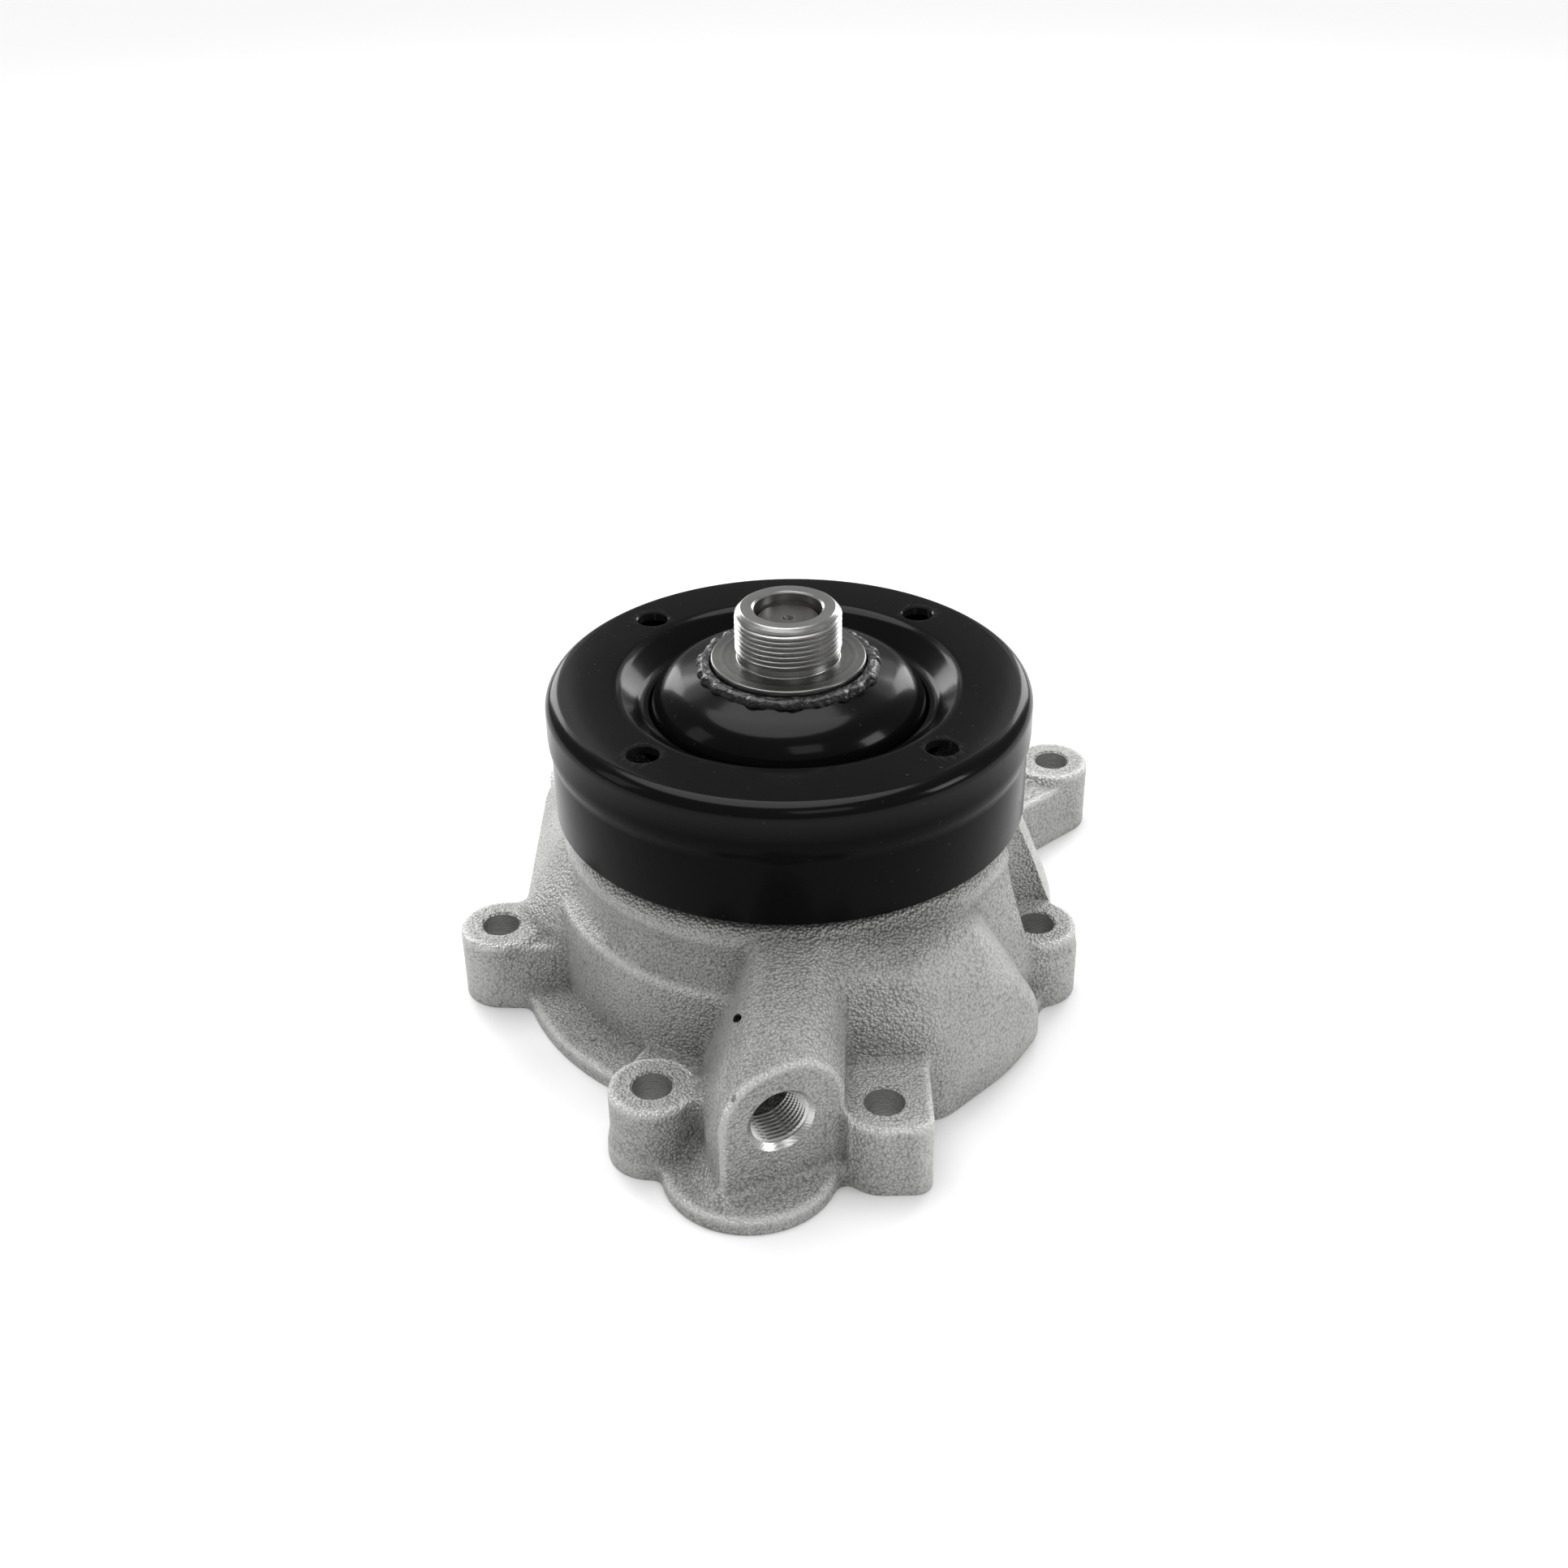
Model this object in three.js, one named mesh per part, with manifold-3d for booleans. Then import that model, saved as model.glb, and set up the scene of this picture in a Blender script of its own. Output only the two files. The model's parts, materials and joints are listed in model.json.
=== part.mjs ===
// Engine water pump: cast aluminium housing, pressed belt pulley on a threaded fan hub,
// integral-shaft bearing, face seal and impeller. Millimetres, +Z along the shaft.
import * as THREE from 'three';
import { mergeVertices } from 'three/addons/utils/BufferGeometryUtils.js';
import { ConvexGeometry } from 'three/addons/geometries/ConvexGeometry.js';
import Module from 'manifold-3d';

const wasm = await Module();
wasm.setup();

// ---- driving dimensions ----
const GAP = 0.3;                 // air left between pieces that touch on the real pump

// the origin is the middle of the footprint; the shaft stands beside it
const SHAFT_X = -1;
const SHAFT_Y = 9;

// housing heights above the gasket face
const FLANGE_TOP = 5;
const EAR_TOP = 22;
const SCROLL_TOP = 19;
const LOBE_TOP = 30;
const SHOULDER_TOP = 54.5;
const SNOUT_TOP = 91.5;
const CHAMBER_ROOF = 33;

// mounting ears: x, y of the bolt hole from the shaft axis
const EAR_RADIUS = 12;
const BOLT_HOLE = 5.4;
const EARS = {
  left: [-86, -14.5],
  frontLeft: [-37.6, -88.6],
  frontRight: [23.3, -96.2],
  right: [71.9, -17.5],
  backRight: [88, 75.6],
  back: [10, 92],
  backLeft: [-68, 72],
};

// threaded side port
const PORT = new THREE.Vector3(-3.6, -108, 26);
const PORT_TURN = THREE.MathUtils.degToRad(24);
const PORT_ARCH = 17;
const PORT_BORE = 7.6;
const PORT_MOUTH = 9.5;
const PORT_DEPTH = 24;

// belt pulley
const BELT_RADIUS = 68;
const RIM_BOTTOM = 58;
const RIM_TOP = 95;
const SHEET = 2.8;
const TOOL_HOLE = 4.5;
const TOOL_HOLE_CIRCLE = 56.2;
const TOOL_HOLE_TURN = 46;
const SHELL_EYE = 39.9;

// fan hub, M30 x 1.5 outside thread
const SPUD_FLANGE = 21.9;
const SPUD_FLANGE_TOP = 102.75;
const SPUD_THREAD = 15;
const SPUD_TOP = 117.8;
const SPUD_BOTTOM = 93;

// shaft and bearing
const SHAFT = 9.3;
const SHAFT_BOTTOM = 8.6;
const SHAFT_TOP = 114.3;
const RACE_OUTER = 19.1;
const RACE_BOTTOM = 53.3;
const RACE_TOP = 91.2;
const PITCH = 12;
const BALL = 3.6;
const BALL_Z = 62;
const BALL_COUNT = 8;
const ROLLER = 3;
const ROLLER_BOTTOM = 73;
const ROLLER_TOP = 85;
const ROLLER_COUNT = 9;

// face seal
const SEAL_BORE = 18.3;
const SEAL_FLANGE_Z = 36.2;
const SEAL_CUP_TOP = 49.6;

// impeller
const IMPELLER = 52;
const VANE_BOTTOM = 7;
const BACKPLATE_BOTTOM = 25.8;
const BACKPLATE_TOP = 28.8;
const VANE_COUNT = 7;

// ---- solids from three.js geometry, and booleans ----

// one closed solid; triangles squashed to a line at an axis or pole are dropped
function solid(geometry) {
  const bare = geometry.clone();
  bare.deleteAttribute('normal');
  bare.deleteAttribute('uv');
  const merged = mergeVertices(bare, 1e-4);
  const index = merged.index.array;
  const triangles = [];
  for (let i = 0; i < index.length; i += 3) {
    const [a, b, c] = [index[i], index[i + 1], index[i + 2]];
    if (a !== b && b !== c && c !== a) {
      triangles.push(a, b, c);
    }
  }
  const points = new Float32Array(merged.attributes.position.array);
  if (signedVolume(points, triangles) < 0) {
    triangles.reverse();
  }
  const mesh = new wasm.Mesh({
    numProp: 3,
    vertProperties: points,
    triVerts: new Uint32Array(triangles),
  });
  mesh.merge();
  return new wasm.Manifold(mesh);
}

function signedVolume(points, triangles) {
  const a = new THREE.Vector3();
  const b = new THREE.Vector3();
  const c = new THREE.Vector3();
  let sum = 0;
  for (let i = 0; i < triangles.length; i += 3) {
    a.fromArray(points, 3 * triangles[i]);
    b.fromArray(points, 3 * triangles[i + 1]);
    c.fromArray(points, 3 * triangles[i + 2]);
    sum += a.dot(b.cross(c));
  }
  return sum;
}

function joined(solids) {
  return solids.reduce((whole, next) => whole.add(next));
}

function cutBy(whole, cutters) {
  return cutters.reduce((rest, cutter) => rest.subtract(cutter), whole);
}

function geometryOf(manifold) {
  const mesh = manifold.getMesh();
  const geometry = new THREE.BufferGeometry();
  geometry.setAttribute('position', new THREE.BufferAttribute(mesh.vertProperties, 3));
  geometry.setIndex(new THREE.BufferAttribute(mesh.triVerts, 1));
  return geometry;
}

// ---- shape helpers ----

// a profile of [radius, z] pairs turned about the shaft axis
function turned(profile, segments) {
  const points = profile.map(([radius, z]) => new THREE.Vector2(radius, z));
  const geometry = new THREE.LatheGeometry(points, segments);
  return solid(geometry.rotateX(Math.PI / 2));
}

function turnedRing(profile, segments) {
  return turned([...profile, profile[0]], segments);
}

// an upright rod along Z
function rod(x, y, bottom, top, radius, segments = 20) {
  const geometry = new THREE.CylinderGeometry(radius, radius, top - bottom, segments);
  geometry.rotateX(Math.PI / 2);
  geometry.translate(x, y, (bottom + top) / 2);
  return solid(geometry);
}

// a straight drilling from one point to another, widening at its start where asked
function drilling(from, to, radius, startRadius = radius, segments = 20) {
  const along = new THREE.Vector3().subVectors(to, from);
  const geometry = new THREE.CylinderGeometry(radius, startRadius, along.length(), segments);
  const turn = new THREE.Quaternion();
  turn.setFromUnitVectors(new THREE.Vector3(0, 1, 0), along.clone().normalize());
  geometry.applyQuaternion(turn);
  const middle = new THREE.Vector3().addVectors(from, to).multiplyScalar(0.5);
  geometry.translate(middle.x, middle.y, middle.z);
  return solid(geometry);
}

function circlePoints(x, y, z, radius, count) {
  const points = [];
  for (let i = 0; i < count; i += 1) {
    const angle = (2 * Math.PI * i) / count;
    points.push(new THREE.Vector3(x + radius * Math.cos(angle), y + radius * Math.sin(angle), z));
  }
  return points;
}

// a flat pad stretched round some circles [x, y, radius], with its top edge bevelled
function pad(rounds, bottom, top, bevel) {
  const points = [];
  for (const [x, y, radius] of rounds) {
    const count = radius > 30 ? 40 : 16;
    points.push(...circlePoints(x, y, bottom, radius, count));
    points.push(...circlePoints(x, y, top - bevel, radius, count));
    points.push(...circlePoints(x, y, top, radius - bevel, count));
  }
  return solid(new ConvexGeometry(points));
}

function stretched(rows) {
  return solid(new ConvexGeometry(rows.map(([x, y, z]) => new THREE.Vector3(x, y, z))));
}

// ---- housing ----

// the round body: wall with a ledge, shoulder under the pulley, and the bearing snout
function drum() {
  return turned([
    [0, 0], [71.5, 0], [71.5, 4.5], [70.3, 6.5], [68.9, 31], [68.3, 35], [66.5, 38],
    [65.6, 41], [65.8, 44.5], [66.6, 48], [66.2, 51.5], [64.5, 53.6], [62, SHOULDER_TOP],
    [58, SHOULDER_TOP], [31.5, 50], [30, 56], [27.4, 66], [26.6, 90], [25.4, SNOUT_TOP],
    [0, SNOUT_TOP],
  ], 44);
}

function flange() {
  const bevel = 1.2;
  const [backRightX, backRightY] = EARS.backRight;
  return joined([
    pad([[-1.5, -1, 80.5]], 0, FLANGE_TOP, bevel),
    pad([[-12, -98, 24], [-14, -70, 26]], 0, FLANGE_TOP, bevel),
    pad([[-38, -88.6, 12.6], [-30, -60, 20]], 0, FLANGE_TOP, bevel),
    pad([[23.3, -96.2, 12], [31, -103, 5.2], [24, -72, 12.5]], 0, FLANGE_TOP, bevel),
    pad([[-86, -14.5, 12], [-60, -10, 18]], 0, FLANGE_TOP, bevel),
    pad([[backRightX, backRightY, 12], [50, 46, 15]], 0, FLANGE_TOP, bevel),
    pad([[-52, 52, 30], [-50, 10, 32]], 0, FLANGE_TOP, bevel),
  ]);
}

// bolt ears; the webs behind them stay lower than the ears' faces
function ears() {
  const solids = [];
  for (const [x, y] of Object.values(EARS)) {
    solids.push(pad([[x, y, EAR_RADIUS]], 0, EAR_TOP, 0.8));
  }
  solids.push(pad([[-86, -14.5, 11.4], [-64, -8, 15]], 0, 20.5, 1));
  solids.push(pad([[-37.6, -88.6, 11], [-33, -66, 12]], 0, 10, 1));
  solids.push(pad([[23.3, -96.2, 11.6], [31.5, -103.2, 4.6], [17, -72, 8], [31, -78, 5]], 0, EAR_TOP, 0.8));
  solids.push(pad([[71.9, -17.5, 12.6], [62, -14, 12]], 0, EAR_TOP - 6, 0.5));
  solids.push(pad([[88, 75.6, 11], [50, 48, 15]], 0, SCROLL_TOP, 1.5));
  solids.push(pad([[10, 92, 11], [6, 60, 16]], 0, SCROLL_TOP, 1.5));
  solids.push(pad([[-68, 72, 11], [-44, 44, 14]], 0, SCROLL_TOP, 1.5));
  return joined(solids);
}

// the scroll runs off centre round the right and back and leaves by the lobe at the back left
function scroll() {
  const count = 40;
  const ring = new ConvexGeometry([
    ...circlePoints(5, 6, 0, 74, count),
    ...circlePoints(5, 6, SCROLL_TOP, 74, count),
    ...circlePoints(4.6, 5.6, SCROLL_TOP + 4, 71.6, count),
    ...circlePoints(3, 4, SHOULDER_TOP - 4, 64, count),
  ]);
  const lobe = pad([[-52, 52, 27], [-60.5, -6, 18.5], [0, 30, 44]], 0, LOBE_TOP, 4);
  const lobeRise = new ConvexGeometry([
    ...circlePoints(-52, 52, LOBE_TOP - 4, 26, 20),
    ...circlePoints(-60.5, -6, LOBE_TOP - 4, 17.5, 20),
    ...circlePoints(-16, 16, SHOULDER_TOP - 3.5, 46, count),
  ]);
  return solid(ring).add(lobe).add(solid(lobeRise));
}

// direction along the port's mouth, left to right, and the direction it faces
function portFrame() {
  const along = new THREE.Vector3(Math.cos(PORT_TURN), Math.sin(PORT_TURN), 0);
  const out = new THREE.Vector3(Math.sin(PORT_TURN), -Math.cos(PORT_TURN), 0);
  return { along, out };
}

function archPoints(radius, back) {
  const { along, out } = portFrame();
  const points = [];
  const steps = 14;
  for (let i = 0; i <= steps; i += 1) {
    const angle = (Math.PI * i) / steps;
    const point = PORT.clone();
    point.addScaledVector(along, radius * Math.cos(angle));
    point.addScaledVector(out, -back);
    point.z += radius * Math.sin(angle);
    points.push(point);
  }
  for (const side of [-1, 1]) {
    const foot = PORT.clone();
    foot.addScaledVector(along, side * radius);
    foot.addScaledVector(out, -back);
    foot.z = 0;
    points.push(foot);
  }
  return points;
}

// the nose that carries the side port: an arched face, growing up and back into the shoulder
function nose() {
  const edge = 1.4;
  const points = [...archPoints(PORT_ARCH - edge, 0), ...archPoints(PORT_ARCH, edge)];
  const sides = [
    [-23, -108, 0], [-23, -108, 22], [-24.5, -93, 0], [-24.5, -93, 22], [-20, -104, 33],
    [-26, -60, 0], [-25, -60, 12], [-9, -58, 52], [-6, -58, 53.6], [9, -58, 53.6],
    [12.5, -58, 51], [8, -71, 51.4], [11.5, -78, 47.2], [13, -80, 42], [13, -60, 0],
    [13, -96, 0], [13, -96, 32],
  ];
  points.push(...sides.map(([x, y, z]) => new THREE.Vector3(x, y, z)));
  return solid(new ConvexGeometry(points));
}

// the broad swelling of the inlet passage between the nose and the right ear
function frontSwelling() {
  return stretched([
    [0, -70, 51.6], [26, -67, 51.4], [43, -54, 51], [40, -36, 51], [6, -36, 51.6],
    [0, -76, 48.6], [32, -73.6, 48], [48.5, -56, 47.5], [46, -38, 47.5],
    [0, -78.6, 44.5], [36, -76.4, 43.5], [43, -70, 44], [53, -58, 43], [52, -38, 41],
    [0, -79.8, 36], [39, -77.8, 32], [50, -66, 35], [60, -55.5, 32], [60, -40, 32],
    [0, -80, 0], [41, -78, 14], [55, -63, 18], [67, -48, 18], [70.6, -40, 10],
    [41, -78.6, 0], [58, -60, 0], [70.6, -40, 0], [72, -34, 0], [6, -30, 0], [66, -20, 0],
  ]);
}

// wet side: impeller chamber, seal seat, weep space, bearing bore
function chamberCut() {
  return turned([
    [0, -1], [60, -1], [60, 26], [56, 31.5], [36, CHAMBER_ROOF], [27, SEAL_FLANGE_Z],
    [SEAL_BORE, SEAL_FLANGE_Z], [SEAL_BORE, 50], [16.5, 50], [16.5, 53],
    [RACE_OUTER + GAP, 53], [RACE_OUTER + GAP, SNOUT_TOP + 1], [0, SNOUT_TOP + 1],
  ], 32);
}

// dry trough round the snout, crossed by ribs
function troughCut() {
  const trough = turnedRing([[33, 41], [57, 40], [60, 43], [60, 60], [31, 60], [31, 46]], 28);
  const ribs = [];
  const ribCount = 6;
  for (let i = 0; i < ribCount; i += 1) {
    const rib = new THREE.BoxGeometry(40, 5, 16);
    rib.translate(45, 0, 42);
    rib.rotateZ((2 * Math.PI * i) / ribCount);
    ribs.push(solid(rib));
  }
  return cutBy(trough, ribs);
}

function outletCut() {
  return pad([[-50, 50, 19], [-38, 10, 20]], -1, 25, 3);
}

function portCut() {
  const { out } = portFrame();
  const mouth = PORT.clone().addScaledVector(out, 0.5);
  const chamferEnd = PORT.clone().addScaledVector(out, -1.9);
  const boreEnd = PORT.clone().addScaledVector(out, -PORT_DEPTH);
  const passageStart = new THREE.Vector3(-12.4, -90, 25);
  const passageEnd = new THREE.Vector3(-6, -54, 25);
  return joined([
    drilling(mouth, chamferEnd, PORT_BORE, PORT_MOUTH + 0.5, 16),
    drilling(mouth, boreEnd, PORT_BORE, PORT_BORE, 16),
    drilling(passageStart, passageEnd, 4.6, 4.6, 10),
  ]);
}

function weepCut() {
  const outside = new THREE.Vector3(-14.5, -80, 35.8);
  const inside = new THREE.Vector3(-2, -12, 51.5);
  return drilling(outside, inside, 1.7, 1.7, 8);
}

function boltHoleCuts() {
  return Object.values(EARS).map(([x, y]) => rod(x, y, -1, EAR_TOP + 1, BOLT_HOLE, 12));
}

// room for the bolt head where the right ear stands under the scroll's slope
function boltHeadCut() {
  const [x, y] = EARS.right;
  return rod(x, y, EAR_TOP, SHOULDER_TOP, EAR_RADIUS + 0.6, 24);
}

function housing() {
  const body = joined([drum(), flange(), ears(), scroll(), nose(), frontSwelling()]);
  const cuts = [
    chamberCut(), troughCut(), outletCut(), portCut(), weepCut(), boltHeadCut(), ...boltHoleCuts(),
  ];
  return cutBy(body, cuts);
}

// ---- pulley and fan hub ----

function pulleyShell() {
  const inner = BELT_RADIUS - SHEET;
  const under = RIM_TOP - SHEET;
  const shell = turnedRing([
    [inner, RIM_BOTTOM], [BELT_RADIUS - 0.6, RIM_BOTTOM], [BELT_RADIUS, RIM_BOTTOM + 0.8],
    [BELT_RADIUS, 76], [BELT_RADIUS + 0.3, 76.6], [68.6, 82], [69, 87], [69, 89.5],
    [68.1, 93.2], [66, RIM_TOP], [50, RIM_TOP], [46, 93.6], [41.2, 89.6], [SHELL_EYE, 88.4],
    [SHELL_EYE, 85.4], [43, 87.2], [47.4, 91], [50.4, under], [64.6, under], [65.8, 90.6],
    [65.9, 87], [65.4, 80],
  ], 40);
  const holes = [];
  for (let i = 0; i < 4; i += 1) {
    const angle = THREE.MathUtils.degToRad(TOOL_HOLE_TURN + 90 * i);
    const x = TOOL_HOLE_CIRCLE * Math.cos(angle);
    const y = TOOL_HOLE_CIRCLE * Math.sin(angle);
    holes.push(rod(x, y, under - 2, RIM_TOP + 2, TOOL_HOLE, 12));
  }
  return cutBy(shell, holes);
}

// domed centre pressing: its foot is welded under the shell, its crown to the fan hub
function hubDome() {
  return turnedRing([
    [36.2, 81], [39.8, 80.8], [44.2, 83.6], [48, 87.2], [46.4, 89.3], [43.2, 86.6],
    [39.5, 84.7], [39.4, 86.8], [38.6, 89.4], [36.5, 92.8], [33, 96], [29, 98.5],
    [25, 100], [22.2, 100.4], [22.2, 97.2], [24.5, 96.9], [28, 95.4], [31, 93.2],
    [34, 89.8], [35.6, 86.4],
  ], 28);
}

function weldBead() {
  return turnedRing([
    [22.3, 100.8], [25, 100.4], [28.2, 99.2], [28.1, 100.2], [26.9, 101.4], [25.2, 102],
    [23.4, 102], [22.3, 101.6],
  ], 24);
}

function hubSpud() {
  return turnedRing([
    [9.6, SPUD_BOTTOM], [16.5, SPUD_BOTTOM], [16.5, 97], [SPUD_FLANGE, 97.4],
    [SPUD_FLANGE, SPUD_FLANGE_TOP - 0.5], [SPUD_FLANGE - 0.5, SPUD_FLANGE_TOP],
    [14.4, SPUD_FLANGE_TOP], [14.4, 105.2], [SPUD_THREAD, 105.8], [SPUD_THREAD, 116],
    [13.35, SPUD_TOP], [10.1, SPUD_TOP], [9.6, SPUD_TOP - 0.5],
  ], 24);
}

// ---- shaft and bearing ----

function bearingShaft() {
  return turned([
    [0, SHAFT_BOTTOM], [8.6, SHAFT_BOTTOM], [SHAFT, SHAFT_BOTTOM + 0.7], [SHAFT, 59.4],
    [8.5, 60.4], [8.1, BALL_Z], [8.5, 63.6], [SHAFT, 64.6], [SHAFT, 71.6], [8.7, 72],
    [8.7, 86], [SHAFT, 86.4], [SHAFT, SHAFT_TOP - 0.7], [8.6, SHAFT_TOP], [0, SHAFT_TOP],
  ], 16);
}

function bearingOuterRace() {
  return turnedRing([
    [14.6, RACE_BOTTOM], [RACE_OUTER - 0.5, RACE_BOTTOM], [RACE_OUTER, RACE_BOTTOM + 0.5],
    [RACE_OUTER, RACE_TOP - 0.5], [RACE_OUTER - 0.5, RACE_TOP], [14.6, RACE_TOP],
    [14.6, 88], [15.3, 87.6], [15.3, 70.4], [14.6, 70], [14.6, 64.6], [15.5, 63.8],
    [15.9, BALL_Z], [15.5, 60.2], [14.6, 59.4],
  ], 20);
}

function lipSeal(bottom) {
  return turnedRing([
    [9.7, bottom], [14.2, bottom], [14.2, bottom + 1.8], [11, bottom + 1.8],
    [9.7, bottom + 0.8],
  ], 20);
}

function ballCage() {
  const solids = [turnedRing([[10.4, 66.2], [13.6, 66.2], [13.6, 68.4], [10.4, 68.4]], 24)];
  for (let i = 0; i < BALL_COUNT; i += 1) {
    const prong = new THREE.BoxGeometry(3, 1.2, 7);
    prong.translate(PITCH, 0, 63.5);
    prong.rotateZ((2 * Math.PI * (i + 0.5)) / BALL_COUNT);
    solids.push(solid(prong));
  }
  return joined(solids);
}

function rollerCage() {
  const solids = [
    turnedRing([[9.9, 71.2], [14.2, 71.2], [14.2, 72.6], [9.9, 72.6]], 24),
    turnedRing([[9.9, 85.4], [14.2, 85.4], [14.2, 86.8], [9.9, 86.8]], 24),
  ];
  for (let i = 0; i < ROLLER_COUNT; i += 1) {
    const bar = new THREE.BoxGeometry(2.4, 1.2, 14);
    bar.translate(PITCH, 0, 79);
    bar.rotateZ((2 * Math.PI * (i + 0.5)) / ROLLER_COUNT);
    solids.push(solid(bar));
  }
  return joined(solids);
}

// ---- face seal ----

function sealCup() {
  return turnedRing([
    [16.8, 34.6], [21.8, 34.6], [21.8, 35.8], [18, 35.8], [18, SEAL_CUP_TOP],
    [11.4, SEAL_CUP_TOP], [11.4, 48.4], [16.8, 48.4],
  ], 24);
}

// rubber bellows: a folded sleeve between the cup and the carbon ring
function sealBellows() {
  return turnedRing([
    [11.2, 33], [14, 33], [14, 34.8], [12.4, 36.5], [13.2, 40], [12.4, 43.5], [13.2, 48],
    [11.8, 48], [11.1, 43.5], [11.9, 40], [11.1, 36.5],
  ], 16);
}

function sealSpring() {
  const turns = 3.5;
  const coil = 15;
  const bottom = 37;
  const rise = 10;
  class Helix extends THREE.Curve {
    getPoint(t) {
      const angle = 2 * Math.PI * turns * t;
      return new THREE.Vector3(coil * Math.cos(angle), coil * Math.sin(angle), bottom + rise * t);
    }
  }
  const wire = new THREE.Shape();
  const sides = 5;
  for (let i = 0; i < sides; i += 1) {
    const angle = (2 * Math.PI * i) / sides;
    const point = [0.8 * Math.cos(angle), 0.8 * Math.sin(angle)];
    if (i === 0) {
      wire.moveTo(...point);
    } else {
      wire.lineTo(...point);
    }
  }
  wire.closePath();
  return solid(new THREE.ExtrudeGeometry(wire, { steps: 36, extrudePath: new Helix() }));
}

function ring(inner, outer, bottom, top, segments = 20) {
  return turnedRing([[inner, bottom], [outer, bottom], [outer, top], [inner, top]], segments);
}

function matingBoot() {
  return turnedRing([
    [10.4, 23.1], [16.6, 23.1], [16.6, 28], [15.3, 28], [15.3, 24.3], [10.4, 24.3],
  ], 24);
}

// ---- impeller ----

// a backward-curved vane drawn between two spirals
function vane() {
  const inner = 18;
  const outer = IMPELLER - 1;
  const sweep = THREE.MathUtils.degToRad(62);
  const steps = 6;
  const halfWidth = 1.7;
  const place = (step, side) => {
    const radius = inner + ((outer - inner) * step) / steps;
    const angle = (-sweep * step) / steps + (side * halfWidth) / radius;
    return new THREE.Vector2(radius * Math.cos(angle), radius * Math.sin(angle));
  };
  const outline = [];
  for (let step = 0; step <= steps; step += 1) {
    outline.push(place(step, -1));
  }
  for (let step = steps; step >= 0; step -= 1) {
    outline.push(place(step, 1));
  }
  const depth = BACKPLATE_BOTTOM + 1 - VANE_BOTTOM;
  const geometry = new THREE.ExtrudeGeometry(new THREE.Shape(outline), { depth, bevelEnabled: false });
  return geometry.translate(0, 0, VANE_BOTTOM);
}

function impeller() {
  const disc = turnedRing([
    [SHAFT + GAP, 8], [13.4, 8], [14, 15], [19, 21], [24, BACKPLATE_BOTTOM],
    [IMPELLER, BACKPLATE_BOTTOM], [IMPELLER, BACKPLATE_TOP], [16.9, BACKPLATE_TOP],
    [16.9, 22.8], [SHAFT + GAP, 22.8],
  ], 28);
  const vanes = [];
  for (let i = 0; i < VANE_COUNT; i += 1) {
    vanes.push(solid(vane().rotateZ((2 * Math.PI * i) / VANE_COUNT)));
  }
  return joined([disc, ...vanes]);
}

// ---- finishes ----

function finish(color, roughness, metalness) {
  return new THREE.MeshStandardMaterial({ color, roughness, metalness });
}

const castAluminium = finish(0x9a9a97, 0.55, 0.9);
const blackPaint = finish(0x0c0c0d, 0.3, 0.0);
const turnedSteel = finish(0x8d8a84, 0.3, 1.0);
const bearingSteel = finish(0x6f6d6a, 0.25, 1.0);
const blackRubber = finish(0x18181a, 0.8, 0.0);
const stainless = finish(0xb5b3ae, 0.3, 1.0);
const carbon = finish(0x2b2b2d, 0.45, 0.0);
const ceramic = finish(0xe8e2d4, 0.35, 0.0);
const cagePlastic = finish(0x5b4a2d, 0.6, 0.0);

// ---- assembly ----

const pump = new THREE.Group();
pump.position.set(SHAFT_X, SHAFT_Y, 0);

function place(name, manifold, material) {
  const mesh = new THREE.Mesh(geometryOf(manifold), material);
  mesh.name = name;
  pump.add(mesh);
  return mesh;
}

place('housing', housing(), castAluminium);

place('bearing_outer_race', bearingOuterRace(), bearingSteel);
place('bearing_seal_front', lipSeal(89), blackRubber);
place('bearing_seal_rear', lipSeal(54), blackRubber);
place('ball_cage', ballCage(), cagePlastic);
for (let i = 0; i < BALL_COUNT; i += 1) {
  const ball = place(`ball_${i + 1}`, solid(new THREE.SphereGeometry(BALL, 8, 6)), bearingSteel);
  const angle = (2 * Math.PI * i) / BALL_COUNT;
  ball.position.set(PITCH * Math.cos(angle), PITCH * Math.sin(angle), BALL_Z);
}
place('roller_cage', rollerCage(), cagePlastic);
for (let i = 0; i < ROLLER_COUNT; i += 1) {
  const angle = (2 * Math.PI * i) / ROLLER_COUNT;
  const roller = rod(0, 0, ROLLER_BOTTOM, ROLLER_TOP, ROLLER, 10);
  const mesh = place(`roller_${i + 1}`, roller, bearingSteel);
  mesh.position.set(PITCH * Math.cos(angle), PITCH * Math.sin(angle), 0);
}
place('bearing_shaft', bearingShaft(), bearingSteel);
place('slinger', ring(SHAFT + GAP, 14, 50.6, 52.4), blackRubber);

place('seal_cup', sealCup(), stainless);
place('seal_bellows', sealBellows(), blackRubber);
place('seal_spring', sealSpring(), stainless);
place('carbon_face_ring', ring(11, 14.4, 28.6, 32.6), carbon);
place('mating_ring', ring(10.4, 15, 24.6, 28.3), ceramic);
place('mating_ring_boot', matingBoot(), blackRubber);
place('impeller', impeller(), castAluminium);

place('pulley_shell', pulleyShell(), blackPaint);
place('hub_dome', hubDome(), blackPaint);
place('weld_bead', weldBead(), blackPaint);
place('hub_spud', hubSpud(), turnedSteel);

export default pump;
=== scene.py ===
"""Engine water pump: the finished surfaces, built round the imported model.

Metres, +Z along the shaft, the gasket face at z = 0.
"""
import json
import math

import bpy
import numpy
from mathutils import Matrix, Vector
from mathutils.kdtree import KDTree


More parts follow.
